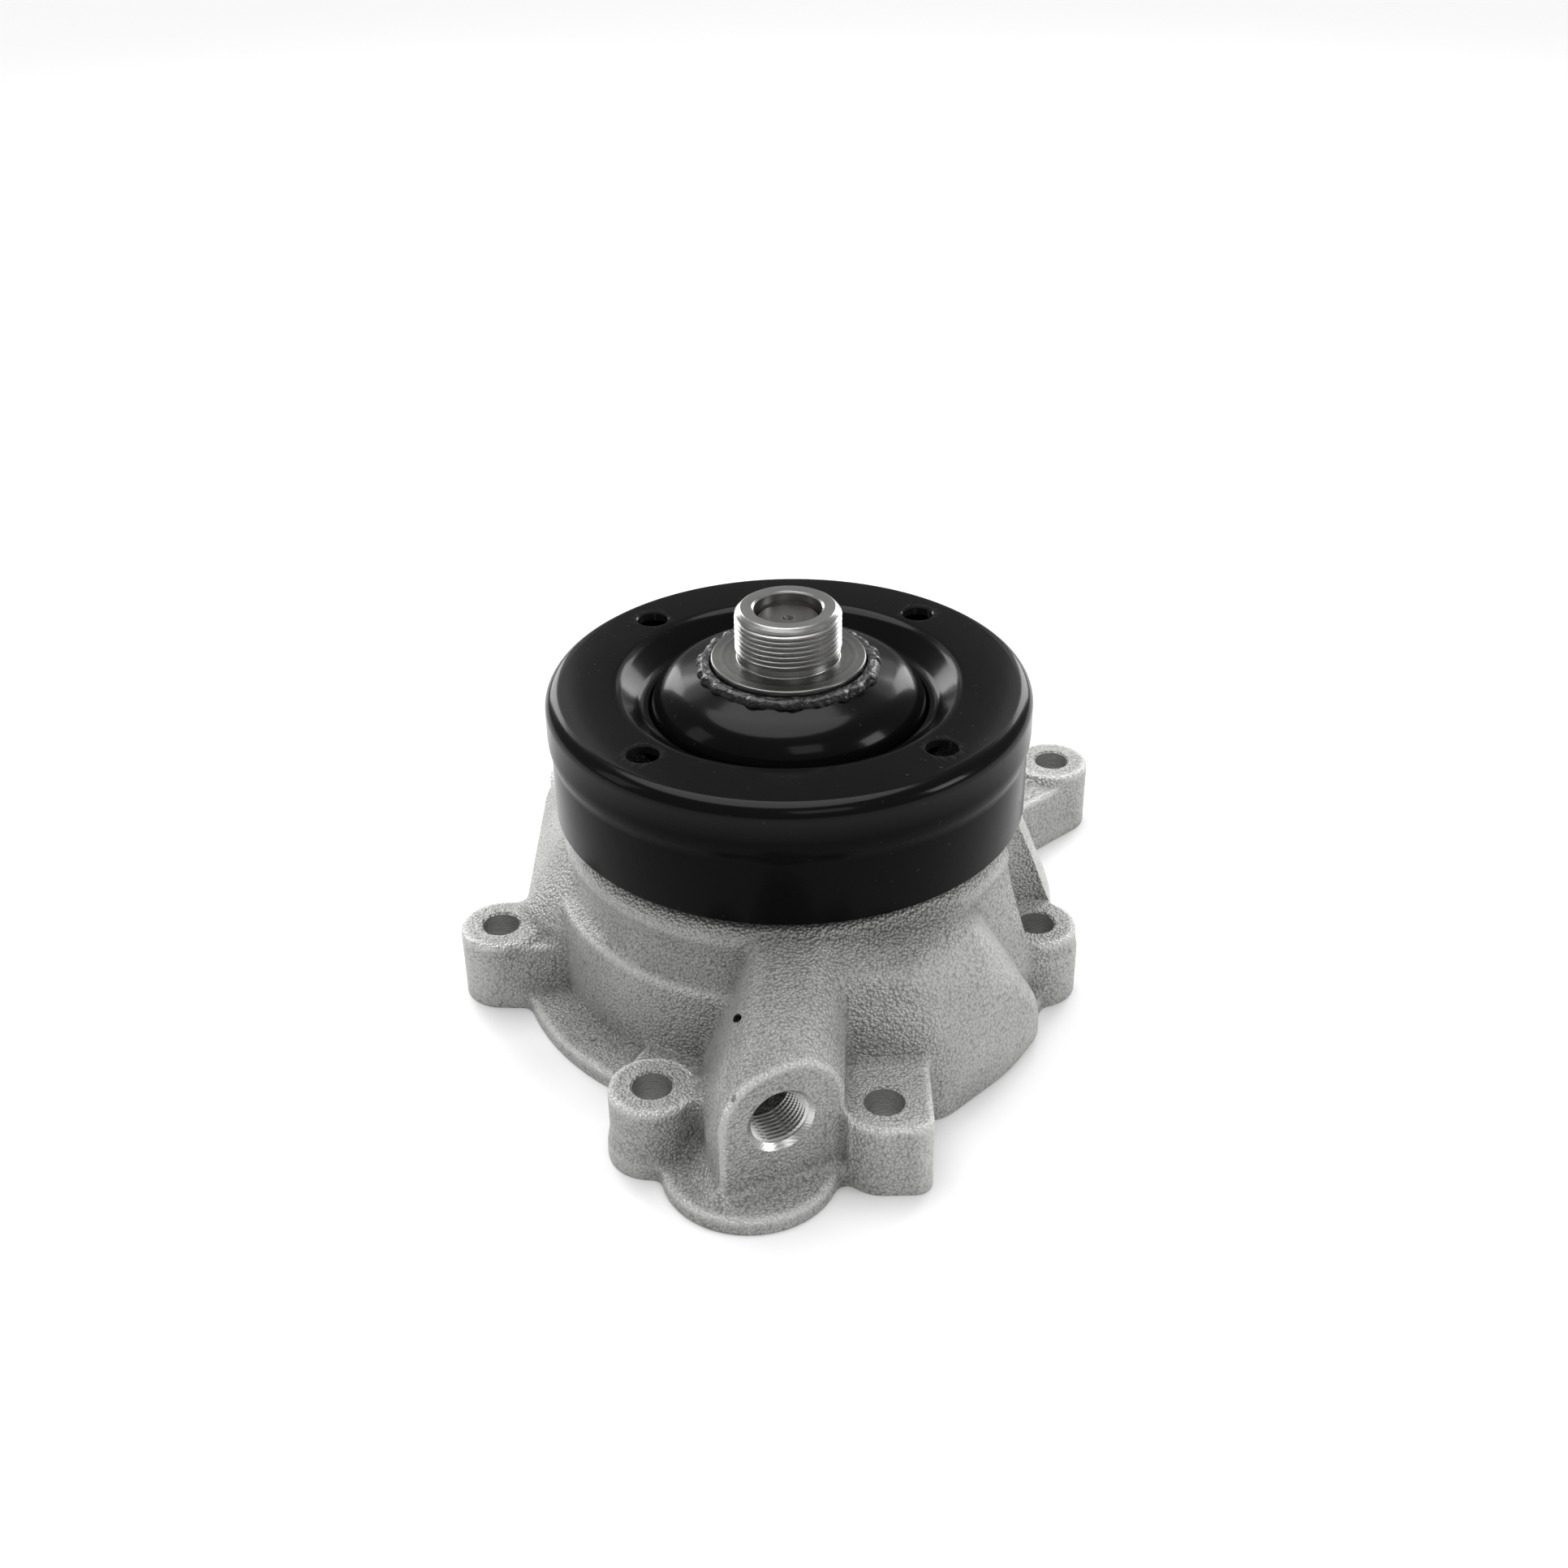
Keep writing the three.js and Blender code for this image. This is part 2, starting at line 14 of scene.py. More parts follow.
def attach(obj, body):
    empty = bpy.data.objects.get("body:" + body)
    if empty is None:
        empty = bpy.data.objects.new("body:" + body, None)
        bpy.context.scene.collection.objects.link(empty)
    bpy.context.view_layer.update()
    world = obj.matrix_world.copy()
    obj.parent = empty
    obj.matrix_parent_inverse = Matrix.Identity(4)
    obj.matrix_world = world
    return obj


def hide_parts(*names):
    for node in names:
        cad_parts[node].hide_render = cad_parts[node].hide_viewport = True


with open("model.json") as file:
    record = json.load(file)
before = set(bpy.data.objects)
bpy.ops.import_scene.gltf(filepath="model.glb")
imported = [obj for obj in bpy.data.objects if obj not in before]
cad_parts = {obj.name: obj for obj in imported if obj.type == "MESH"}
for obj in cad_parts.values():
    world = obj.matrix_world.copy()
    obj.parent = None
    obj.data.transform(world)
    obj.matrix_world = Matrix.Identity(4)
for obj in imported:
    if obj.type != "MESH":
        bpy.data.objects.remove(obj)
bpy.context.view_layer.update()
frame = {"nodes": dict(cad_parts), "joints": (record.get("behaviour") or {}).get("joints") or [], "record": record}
nodes = frame["nodes"]
mm = 0.001


# ---------------------------------------------------------------------------
# Where the pump stands and how it is seen
# The pump stands on its gasket face on a pale table, under wide soft lamps, with
# the camera above the side port.

shaft = Vector(frame["joints"][0]["pos_m"])
shaft.z = 0.0

camera_data = bpy.data.cameras.new("camera")
camera_data.sensor_width = 36.0
camera_data.lens = 44.704
camera_data.clip_start = 0.01
camera = bpy.data.objects.new("camera", camera_data)
camera.location = shaft + Vector((-1.74, -485.06, 357.37)) * mm
camera_tilt = math.radians(90.0 - 31.494)
camera_roll = math.radians(-0.795)
camera_turn = Matrix.Rotation(camera_tilt, 3, "X") @ Matrix.Rotation(camera_roll, 3, "Z")
camera.rotation_euler = camera_turn.to_euler()
bpy.context.scene.collection.objects.link(camera)
bpy.context.scene.camera = camera


def soft_lamp(name, place, size, power):
    """A rectangular studio lamp aimed at the middle of the pump."""
    data = bpy.data.lights.new(name, "AREA")
    data.shape = "RECTANGLE"
    data.size, data.size_y = size
    data.energy = power
    lamp = bpy.data.objects.new(name, data)
    lamp.location = place
    aim = shaft + Vector((0.0, 0.0, 0.05)) - Vector(place)
    lamp.rotation_euler = aim.to_track_quat("-Z", "Y").to_euler()
    bpy.context.scene.collection.objects.link(lamp)


soft_lamp("lamp_left", (-0.5, 0.85, 0.42), (0.3, 0.5), 3.4)
soft_lamp("lamp_right", (0.52, 0.82, 0.4), (0.3, 0.5), 3.2)
soft_lamp("panel_left", (-0.5, 1.05, 0.75), (0.6, 0.5), 1.3)
soft_lamp("panel_right", (0.52, 1.05, 0.72), (0.6, 0.5), 1.2)
soft_lamp("lamp_side", (-0.95, -0.1, 0.5), (0.3, 0.5), 0.6)
soft_lamp("lamp_front", (0.25, -0.9, 0.95), (0.5, 0.4), 1.1)
soft_lamp("lamp_east", (1.0, -0.3, 0.5), (0.35, 0.35), 2.7)

sky_data = bpy.data.lights.new("lamp_over", "SUN")
sky_data.energy = 2.6
sky_data.angle = math.radians(55.0)
sky = bpy.data.objects.new("lamp_over", sky_data)
sky.rotation_euler = (math.radians(-12.0), math.radians(-6.0), 0.0)
bpy.context.scene.collection.objects.link(sky)

world = bpy.data.worlds.new("studio")
world.use_nodes = True
background = world.node_tree.nodes["Background"]
background.inputs["Color"].default_value = (1.0, 1.0, 1.0, 1.0)
background.inputs["Strength"].default_value = 0.28
bpy.context.scene.world = world
bpy.context.scene.view_settings.view_transform = "Standard"


# ---------------------------------------------------------------------------
# Shader maths
# A socket in a wrapper, so that shader sums read as plain expressions, and a finish
# that holds one material.

class Socket:
    def __init__(self, tree, out):
        self.tree = tree
        self.out = out

    def node(self, kind, settings=None, inputs=None, out=0):
        made = self.tree.nodes.new(kind)
        for key, value in (settings or {}).items():
            setattr(made, key, value)
        for key, value in (inputs or {}).items():
            socket = made.inputs[key]
            if isinstance(value, Socket):
                self.tree.links.new(value.out, socket)
            else:
                socket.default_value = value
        return Socket(self.tree, made.outputs[out])

    def math(self, operation, other=0.0, swap=False):
        pair = (other, self) if swap else (self, other)
        return self.node("ShaderNodeMath", {"operation": operation}, {0: pair[0], 1: pair[1]})

    def __add__(self, other):
        return self.math("ADD", other)

    __radd__ = __add__

    def __mul__(self, other):
        return self.math("MULTIPLY", other)

    __rmul__ = __mul__

    def __sub__(self, other):
        return self.math("SUBTRACT", other)

    def __rsub__(self, other):
        return self.math("SUBTRACT", other, swap=True)

    def between(self, low, high):
        """0 at low and under, 1 at high and over."""
        inputs = {"Value": self, "From Min": low, "From Max": high}
        return self.node("ShaderNodeMapRange", {"clamp": True}, inputs)

    def mix(self, color_a, color_b):
        """One colour where this is 0, the other where it is 1."""
        a = color_a if isinstance(color_a, Socket) else (*color_a, 1.0)
        b = color_b if isinstance(color_b, Socket) else (*color_b, 1.0)
        inputs = {0: self, 6: a, 7: b}
        return self.node("ShaderNodeMix", {"data_type": "RGBA"}, inputs, out=2)


class Finish:
    """One material: its tree, its shader and the object's coordinates."""

    def __init__(self, name):
        self.material = bpy.data.materials.new(name)
        self.material.use_nodes = True
        tree = self.material.node_tree
        self.tree = tree
        self.shader = tree.nodes["Principled BSDF"]
        coordinates = tree.nodes.new("ShaderNodeTexCoord")
        self.place = Socket(tree, coordinates.outputs["Object"])

    def noise(self, scale, detail=3.0, roughness=0.5, vector=None):
        inputs = {"Vector": vector or self.place, "Scale": scale, "Detail": detail,
                  "Roughness": roughness}
        return self.place.node("ShaderNodeTexNoise", None, inputs)

    def set(self, **values):
        for key, value in values.items():
            socket = self.shader.inputs[key.replace("_", " ")]
            if isinstance(value, Socket):
                self.tree.links.new(value.out, socket)
            elif isinstance(value, tuple):
                socket.default_value = (*value, 1.0)
            else:
                socket.default_value = value

    def bump(self, height, distance, strength=1.0):
        inputs = {"Height": height, "Distance": distance, "Strength": strength}
        made = self.place.node("ShaderNodeBump", None, inputs)
        self.tree.links.new(made.out, self.shader.inputs["Normal"])


# ---------------------------------------------------------------------------
# Table
# A plain pale sheet, only a stage for the pump. It lies a hair under the gasket face,
# so that the two never flicker.

def dress(piece, *coats):
    """Puts finishes on a piece in place of what it wears."""
    piece.data.materials.clear()
    for coat in coats:
        piece.data.materials.append(coat.material)


def deselect_all():
    if bpy.context.object and bpy.context.object.mode != "OBJECT":
        bpy.ops.object.mode_set(mode="OBJECT")
    bpy.ops.object.select_all(action="DESELECT")


table_finish = Finish("pale_table")
table_finish.set(Base_Color=(0.9, 0.9, 0.9), Roughness=0.6)
deselect_all()
bpy.ops.mesh.primitive_plane_add(size=6.0, location=(0.0, 0.0, -0.0002))
table = bpy.context.object
table.name = "table"
dress(table, table_finish)


# ---------------------------------------------------------------------------
# Housing
# One sand-cast and shot-blasted aluminium body: drum, scroll, port nose, ears and
# bearing snout. Only its gasket face, bores and thread are machined.

# shot-blasted skin: fine pebbles with painted shade in their valleys, a few pits, a painted highlight on convex
# edges and painted shade in hollows
cast = Finish("cast_aluminium")
grain = cast.noise(2300.0, 2.0, 0.6)
pebble = 1.0 - cast.place.node("ShaderNodeTexVoronoi", {"feature": "F1"},
                               {"Vector": cast.place, "Scale": 1150.0, "Randomness": 1.0})
cloud = cast.noise(26.0, 4.0, 0.6)
pits = cast.noise(148.0, 2.0, 0.5).between(0.76, 0.82)
bend = cast.place.node("ShaderNodeAttribute", {"attribute_name": "bend"}, out="Fac")
edge = bend.between(0.04, 0.24)
crease = 1.0 - bend.between(-0.3, -0.04)
# random colour from cloud and grain, plus painted shade in the pebbles' valleys, where the pebble height is low
tone_and_pebble_shade = (cloud * 0.35 + pebble * 0.3 + grain * 0.35).between(0.36, 0.62)
base = tone_and_pebble_shade.mix((0.27, 0.269, 0.26), (0.6, 0.598, 0.58))
# convex edges painted lighter: a painted highlight
edge_highlighted = (edge * 0.6).mix(base, (0.8, 0.8, 0.78))
# concave creases painted darker: painted shade
edge_highlight_and_crease_shade = (crease * 0.5).mix(edge_highlighted, (0.15, 0.148, 0.14))
cast.set(
    Base_Color=pits.mix(edge_highlight_and_crease_shade, (0.1, 0.1, 0.098)),
    Metallic=0.5,
    Roughness=grain * 0.3 + 0.25,
)
cast.bump(pebble * 0.8 + grain * 0.5 - pits * 0.8, 0.00095, 1.0)

# cut surfaces: brighter, with the tool's lines
machined = Finish("machined_aluminium")
tool_lines = machined.place.node(
    "ShaderNodeTexWave", {"wave_type": "BANDS", "bands_direction": "Z"},
    {"Vector": machined.place, "Scale": 420.0, "Distortion": 1.5, "Detail": 2.0},
)
machined.set(
    Base_Color=tool_lines.mix((0.62, 0.62, 0.605), (0.74, 0.74, 0.725)),
    Metallic=0.85,
    Roughness=tool_lines * 0.1 + 0.24,
)
machined.bump(tool_lines, 0.00003, 0.6)


def world_point(x, y, z):
    """A point given in millimetres from the shaft's foot."""
    return shaft + Vector((x, y, z)) * mm


def select_only(piece):
    deselect_all()
    bpy.context.view_layer.objects.active = piece
    piece.select_set(True)


def new_piece(name):
    """An empty mesh object in edit mode, ready for primitives."""
    piece = bpy.data.objects.new(name, bpy.data.meshes.new(name))
    bpy.context.scene.collection.objects.link(piece)
    select_only(piece)
    bpy.ops.object.mode_set(mode="EDIT")
    return piece


def add_post(x, y, bottom, top, radius, sides=48):
    """An upright cylinder, in millimetres from the shaft's foot."""
    place = world_point(x, y, (bottom + top) / 2)
    bpy.ops.mesh.primitive_cylinder_add(
        vertices=sides, radius=radius * mm, depth=(top - bottom) * mm, location=place)


def add_ball(x, y, z, radius):
    bpy.ops.mesh.primitive_uv_sphere_add(
        segments=20, ring_count=12, radius=radius * mm, location=world_point(x, y, z))


def shrink_wrap_hull():
    """Wraps what is in edit mode in its convex hull and leaves edit mode."""
    bpy.ops.mesh.select_all(action="SELECT")
    bpy.ops.mesh.convex_hull()
    bpy.ops.object.mode_set(mode="OBJECT")


def post_hull(name, posts, bottom, top):
    """A flat pad stretched round upright posts given as (x, y, radius)."""
    piece = new_piece(name)
    for x, y, radius in posts:
        add_post(x, y, bottom, top, radius, 96 if radius > 30 else 40)
    shrink_wrap_hull()
    return piece


def layered_hull(name, layers):
    """A solid stretched round thin discs given as (x, y, z, radius)."""
    piece = new_piece(name)
    for x, y, z, radius in layers:
        add_post(x, y, z - 0.05, z + 0.05, radius, 96)
    shrink_wrap_hull()
    return piece


def ball_hull(name, balls):
    """A rounded solid stretched round balls given as (x, y, z, radius)."""
    piece = new_piece(name)
    for x, y, z, radius in balls:
        add_ball(x, y, z, radius)
    shrink_wrap_hull()
    return piece


def draw_line(points):
    """Extrudes a single vertex along points, in metres."""
    bpy.ops.mesh.primitive_plane_add(size=mm, location=(0.0, 0.0, 0.0))
    bpy.ops.mesh.merge(type="CENTER")
    bpy.ops.transform.translate(value=points[0])
    for here, there in zip(points, points[1:]):
        bpy.ops.mesh.extrude_region_move(TRANSFORM_OT_translate={"value": there - here})


def turned(name, profile, steps=128, closed=True):
    """Spins a profile of (radius, z), in millimetres, about the shaft axis."""
    piece = new_piece(name)
    points = [world_point(radius, 0.0, z) for radius, z in profile]
    draw_line(points + points[:1] if closed else points)
    bpy.ops.mesh.select_all(action="SELECT")
    bpy.ops.mesh.spin(steps=steps, angle=math.tau, center=shaft, axis=(0.0, 0.0, 1.0))
    bpy.ops.mesh.select_all(action="SELECT")
    bpy.ops.mesh.remove_doubles(threshold=0.00002)
    bpy.ops.mesh.normals_make_consistent(inside=False)
    bpy.ops.object.mode_set(mode="OBJECT")
    return piece


def apply_modifier(piece, kind, **settings):
    select_only(piece)
    modifier = piece.modifiers.new(kind.lower(), kind)
    for key, value in settings.items():
        setattr(modifier, key, value)
    bpy.ops.object.modifier_apply(modifier=modifier.name)


def fuse(pieces, name):
    """Joins pieces into the first of them."""
    deselect_all()
    for piece in pieces:
        piece.select_set(True)
    bpy.context.view_layer.objects.active = pieces[0]
    bpy.ops.object.join()
    pieces[0].name = name
    pieces[0].data.name = name
    return pieces[0]


def cut(piece, cutter, keep="DIFFERENCE"):
    """Cuts a piece with another, which is used up."""
    apply_modifier(piece, "BOOLEAN", operation=keep, object=cutter, solver="MANIFOLD")
    bpy.data.objects.remove(cutter)


def smooth_by_angle(piece, degrees):
    select_only(piece)
    bpy.ops.object.shade_smooth_by_angle(angle=math.radians(degrees))


ears = [(-86.0, -14.5), (-37.6, -88.6), (23.3, -96.2), (71.9, -17.5), (88.0, 75.6), (10.0, 92.0),
        (-68.0, 72.0)]
ear_top = 22.0
bolt_hole = 5.4

# the castings start below the gasket plane, which is then cut flat
below = -4.0

# drum and snout
castings = [turned("drum", [
    (0.0, below), (71.2, below), (71.2, 4.0), (69.9, 7.0), (69.6, 32.0), (69.3, 33.6),
    (65.0, 35.8), (64.1, 40.5), (64.7, 45.0), (66.8, 49.0), (66.3, 51.8), (64.6, 53.9),
    (62.0, 54.5), (58.0, 54.5), (31.5, 50.0), (30.0, 56.0), (27.4, 66.0), (26.6, 90.0),
    (26.0, 91.5), (0.0, 91.5),
], closed=False)]

# mounting flange, with a foot under each ear and the tongue under the port
for posts in (
    [(-1.5, -1.0, 80.3)],
    [(-12.0, -98.0, 23.8), (-14.0, -70.0, 26.0)],
    [(-38.0, -88.6, 12.4), (-30.0, -60.0, 20.0)],
    [(23.3, -96.2, 11.8), (31.0, -103.0, 5.0), (24.0, -72.0, 12.3)],
    [(-86.0, -14.5, 11.8), (-60.0, -10.0, 18.0)],
    [(88.0, 75.6, 11.8), (50.0, 46.0, 15.0)],
    [(-52.0, 52.0, 29.8), (-50.0, 10.0, 32.0)],
):
    castings.append(post_hull("flange", posts, below, 4.9))

# bolt ears and the webs behind them
for x, y in ears:
    castings.append(post_hull("ear", [(x, y, 11.9)], below, ear_top))
for posts, top in (
    ([(-86.0, -14.5, 11.4), (-64.0, -8.0, 15.0)], 20.5),
    ([(-37.6, -88.6, 11.0), (-33.0, -66.0, 12.0)], 10.0),
    ([(23.3, -96.2, 11.5), (31.5, -103.2, 4.5), (17.0, -72.0, 8.0), (31.0, -78.0, 5.0)], ear_top),
    ([(71.9, -17.5, 12.5), (62.0, -14.0, 12.0)], ear_top - 6.0),
    ([(88.0, 75.6, 11.0), (50.0, 48.0, 15.0)], 19.0),
    ([(10.0, 92.0, 11.0), (6.0, 60.0, 16.0)], 19.0),
    ([(-68.0, 72.0, 11.0), (-44.0, 44.0, 14.0)], 19.0),
):
    castings.append(post_hull("web", posts, below, top))

# scroll, an off-centre ring that climbs to the shoulder, and the outlet lobe
castings.append(layered_hull("scroll", [
    (5.0, 6.0, below, 73.9), (5.0, 6.0, 19.0, 73.9), (4.6, 5.6, 23.0, 71.5), (3.0, 4.0, 50.5, 63.9),
]))
castings.append(layered_hull("lobe", [
    (-52.0, 52.0, below, 27.0), (-52.0, 52.0, 25.0, 27.0), (-52.0, 52.0, 30.0, 22.5),
    (-60.5, -6.0, below, 18.5), (-60.5, -6.0, 25.0, 18.5), (-60.0, -6.0, 30.0, 14.0),
    (0.0, 30.0, 30.0, 42.0), (-15.0, 15.0, 51.0, 47.0),
]))

# nose round the side port: an arched face that grows up and back into the shoulder
port = Vector((-3.6, -108.0, 26.0))
port_turn = math.radians(24.0)
port_along = Vector((math.cos(port_turn), math.sin(port_turn), 0.0))
port_out = Vector((math.sin(port_turn), -math.cos(port_turn), 0.0))
nose = new_piece("nose")
for back, radius in ((-2.6, 16.4), (1.4, 16.9)):
    arch_middle = port - port_out * back
    bpy.ops.mesh.primitive_cylinder_add(
        vertices=64, radius=radius * mm, depth=0.0001,
        location=world_point(*arch_middle), rotation=(math.pi / 2, 0.0, port_turn))
    for side in (-1, 1):
        foot = arch_middle + port_along * side * (radius - 0.5)
        add_ball(foot.x, foot.y, below, 0.5)
for x, y, z, radius in (
    (-21.0, -105.5, below, 2.0), (-21.0, -105.5, 20.0, 2.0), (-22.5, -93.0, below, 2.0),
    (-22.5, -93.0, 20.0, 2.0), (-18.0, -102.0, 31.0, 2.5), (-24.0, -60.0, below, 2.0),
    (-23.0, -60.0, 12.0, 2.0), (-7.0, -60.0, 50.0, 2.5), (9.0, -60.0, 50.6, 3.0),
    (6.0, -70.0, 48.6, 3.0), (8.0, -75.5, 44.0, 4.0), (11.0, -77.5, 38.0, 2.5),
    (11.0, -60.0, below, 2.0), (11.0, -96.0, below, 2.0), (11.0, -96.0, 31.0, 2.0),
):
    add_ball(x, y, z, radius)
shrink_wrap_hull()
castings.append(nose)

# the fillet that runs from the nose's left wall on to the tongue
castings.append(ball_hull("nose_foot", [
    (-24.3, -90.0, 9.8, 0.6), (-22.8, -105.5, 9.8, 0.6), (-19.0, -113.5, 9.0, 0.6),
    (-28.5, -90.0, 4.6, 0.6), (-27.0, -106.5, 4.6, 0.6), (-22.8, -116.5, 4.6, 0.6),
    (-15.0, -90.0, 4.6, 0.6), (-12.0, -108.0, 4.6, 0.6), (-15.0, -90.0, 9.8, 0.6),
]))

# the broad swelling between the nose and the right ear, smoothed round
swelling = ball_hull("swelling", [
    (0.0, -66.0, 46.0, 5.8), (26.0, -62.0, 45.5, 6.0), (40.0, -51.0, 45.0, 6.0),
    (38.0, -38.0, 45.0, 6.0), (0.0, -71.0, 42.0, 7.0), (31.0, -68.5, 41.0, 7.5),
    (46.0, -53.0, 39.5, 8.0), (46.0, -42.0, 38.0, 7.5), (0.0, -74.0, 34.0, 6.0),
    (36.0, -72.0, 30.0, 6.5), (48.0, -61.0, 31.0, 6.5), (55.0, -51.0, 28.0, 6.5),
    (38.0, -73.0, 12.0, 6.0), (52.0, -59.5, 14.0, 6.0), (63.5, -46.0, 14.0, 6.0),
    (65.0, -40.0, 8.0, 6.0), (38.0, -73.0, below, 6.0), (54.0, -57.0, below, 6.0),
    (65.0, -40.0, below, 6.0), (66.0, -34.0, below, 6.0), (0.0, -74.0, below, 6.0),
    (10.0, -30.0, below, 6.0), (60.0, -24.0, below, 6.0),
])
apply_modifier(swelling, "REMESH", mode="VOXEL", voxel_size=2.0 * mm)
apply_modifier(swelling, "SMOOTH", factor=0.5, iterations=6)
castings.append(swelling)

# one casting with filleted corners: wrapped, grown by the fillet and shrunk back
housing = fuse(castings, "pump_housing")
fillet = 1.3 * mm
fine_voxel = 0.72 * mm
apply_modifier(housing, "REMESH", mode="VOXEL", voxel_size=fine_voxel)
apply_modifier(housing, "SMOOTH", factor=0.5, iterations=2)
apply_modifier(housing, "DISPLACE", strength=fillet, mid_level=0.0)
apply_modifier(housing, "REMESH", mode="VOXEL", voxel_size=0.75 * mm)
apply_modifier(housing, "DISPLACE", strength=-fillet, mid_level=0.0)

# the port's face, cut flat with an edge that is just rounded
face_top, face_reach = 20.0, 10.0
face_cutter = new_piece("face_cutter")
for low, near in ((-17.5, 0.0), (-20.8, 3.3)):
    place = Vector((-1.7, (low + face_top) / 2, (near + face_reach) / 2)) * mm
    scale = Vector((38.6, face_top - low, face_reach - near)) * mm
    bpy.ops.mesh.primitive_cube_add(size=1.0, location=place, scale=scale)
shrink_wrap_hull()
port_frame = port_out.to_track_quat("Z", "Y").to_matrix().to_4x4()
into_port = Matrix.Translation(world_point(*port)) @ port_frame
face_cutter.data.transform(into_port)
cut(housing, face_cutter)
apply_modifier(housing, "REMESH", mode="VOXEL", voxel_size=fine_voxel)
apply_modifier(housing, "SMOOTH", factor=0.5, iterations=4)


def surface_bend(piece, passes):
    """Points of a surface, in metres, and how sharply each bends outward, per millimetre."""
    data = piece.data
    total = len(data.vertices)
    place = numpy.empty(total * 3)
    data.vertices.foreach_get("co", place)
    place = place.reshape(-1, 3)
    normal = numpy.empty(total * 3)
    data.vertices.foreach_get("normal", normal)
    normal = normal.reshape(-1, 3)
    ends = numpy.empty(len(data.edges) * 2, dtype=numpy.int32)
    data.edges.foreach_get("vertices", ends)
    here, there = ends.reshape(-1, 2).T
    count = numpy.bincount(here, minlength=total) + numpy.bincount(there, minlength=total)

    def gathered(at_here, at_there):
        sums = numpy.bincount(here, at_here, total) + numpy.bincount(there, at_there, total)
        return sums / count

    step = (place[there] - place[here]) / mm
    squared = (step ** 2).sum(axis=1)
    bends = gathered(-2.0 * (normal[here] * step).sum(axis=1) / squared,
                     2.0 * (normal[there] * step).sum(axis=1) / squared)
    for _ in range(passes):
        bends = (bends + gathered(bends[there], bends[here])) / 2
    return place, bends


# the casting's bend, taken before any machining, sets the painted highlight on its edges and the painted shade in
# its hollows
cast_points, cast_bends = surface_bend(housing, 5)
bend_tree = KDTree(len(cast_points))
for index, point in enumerate(cast_points):
    bend_tree.insert(point, index)
bend_tree.balance()
apply_modifier(housing, "DECIMATE", ratio=0.55)

# the gasket face, faced flat
select_only(housing)
bpy.ops.object.mode_set(mode="EDIT")
bpy.ops.mesh.select_all(action="SELECT")
bpy.ops.mesh.bisect(plane_co=(0.0, 0.0, 0.0), plane_no=(0.0, 0.0, -1.0), clear_outer=True,
                    use_fill=True, threshold=0.000001)
bpy.ops.object.mode_set(mode="OBJECT")

# wet side: impeller chamber, seal seat, weep space and bearing bore
cutters = [turned("chamber_cutter", [
    (0.0, -2.0), (60.0, -2.0), (60.0, 26.0), (59.0, 29.6), (56.0, 31.5), (36.0, 33.0),
    (27.0, 36.2), (18.3, 36.2), (18.3, 50.0), (16.5, 50.0), (16.5, 53.0), (19.4, 53.0),
    (19.4, 92.0), (20.4, 95.0), (0.0, 95.0),
], closed=False)]

# bolt holes, each with a small chamfer at its mouth
for x, y in ears:
    bolt_cutter = new_piece("bolt_cutter")
    add_post(x, y, -2.0, ear_top + 2.0, bolt_hole, 64)
    bpy.ops.object.mode_set(mode="OBJECT")
    cutters.append(bolt_cutter)
cut(housing, fuse(cutters, "cutters"))

chamfers = new_piece("chamfers")
for x, y in ears:
    bpy.ops.mesh.primitive_cone_add(
        vertices=64, radius1=(bolt_hole - 0.1) * mm, radius2=(bolt_hole + 1.3) * mm, depth=1.4 * mm,
        location=world_point(x, y, ear_top + 0.05))
bpy.ops.object.mode_set(mode="OBJECT")
cut(housing, chamfers)

# the bolt head's room over the right ear, and the outlet passage
right_x, right_y = ears[3]
cut(housing, post_hull("head_cutter", [(right_x, right_y, 12.4)], ear_top, 56.0))
cut(housing, post_hull("outlet_cutter", [(-50.0, 50.0, 19.0), (-38.0, 10.0, 20.0)], -2.0, 24.0))

# dry trough round the snout, between six ribs
ribs = 6
trough_corners = [(33.0, 41.0), (57.0, 40.0), (60.0, 43.0), (60.0, 60.0), (31.0, 60.0), (31.0, 46.0)]
trough_line = [Vector((radius, 0.0, z)) * mm for radius, z in trough_corners + trough_corners[:1]]
trough_sectors = []
for rib in range(ribs):
    sector = new_piece("trough_cutter")
    draw_line(trough_line)
    bpy.ops.mesh.select_all(action="SELECT")
    bpy.ops.mesh.remove_doubles(threshold=0.00001)
    bpy.ops.mesh.edge_face_add()
    bpy.ops.mesh.spin(steps=12, angle=math.radians(52.0), center=(0.0, 0.0, 0.0),
                      axis=(0.0, 0.0, 1.0))
    bpy.ops.mesh.select_all(action="SELECT")
    bpy.ops.mesh.normals_make_consistent(inside=False)
    bpy.ops.object.mode_set(mode="OBJECT")
    sector.data.transform(Matrix.Rotation(math.radians(360.0 / ribs * rib + 4.0), 4, "Z"))
    sector.data.transform(Matrix.Translation(shaft))
    trough_sectors.append(sector)
cut(housing, fuse(trough_sectors, "trough_cutter"))


